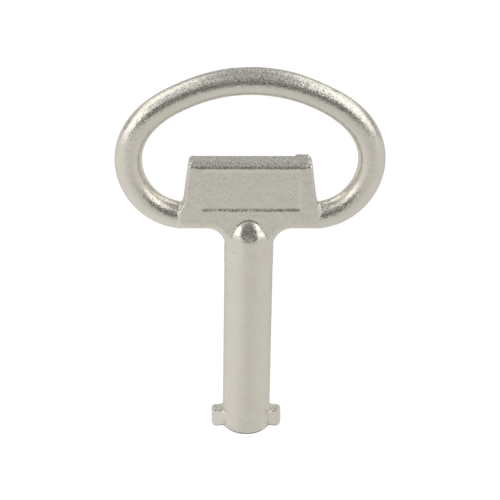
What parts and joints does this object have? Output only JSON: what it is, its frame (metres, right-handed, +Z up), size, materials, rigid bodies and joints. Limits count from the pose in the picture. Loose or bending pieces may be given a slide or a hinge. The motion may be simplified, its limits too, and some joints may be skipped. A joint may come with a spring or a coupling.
{
  "type": "double-bit control cabinet key",
  "caption": "One-piece cast double-bit cabinet key: oval finger bow with a blank label tab, round shank with domed head, and bit wings flush with a piloted tip.",
  "frame": {"origin": "centre of the tip's end face, on the shank axis", "axes": "+Z up the shank from the tip to the finger bow, +X to the right across the bow, -Y out of the front face of the label tab"},
  "size_m": [0.0492, 0.009, 0.0753],
  "materials": {
    "satin_nickel": "satin nickel plate over a fine sand-blasted zinc casting"
  },
  "bodies": {
    "root": {"bow_ring": "satin_nickel", "bow_web": "satin_nickel", "label_tab": "satin_nickel", "shank_dome": "satin_nickel", "shank_tube": "satin_nickel", "bit_left": "satin_nickel", "bit_right": "satin_nickel"}
  },
  "joints": []
}
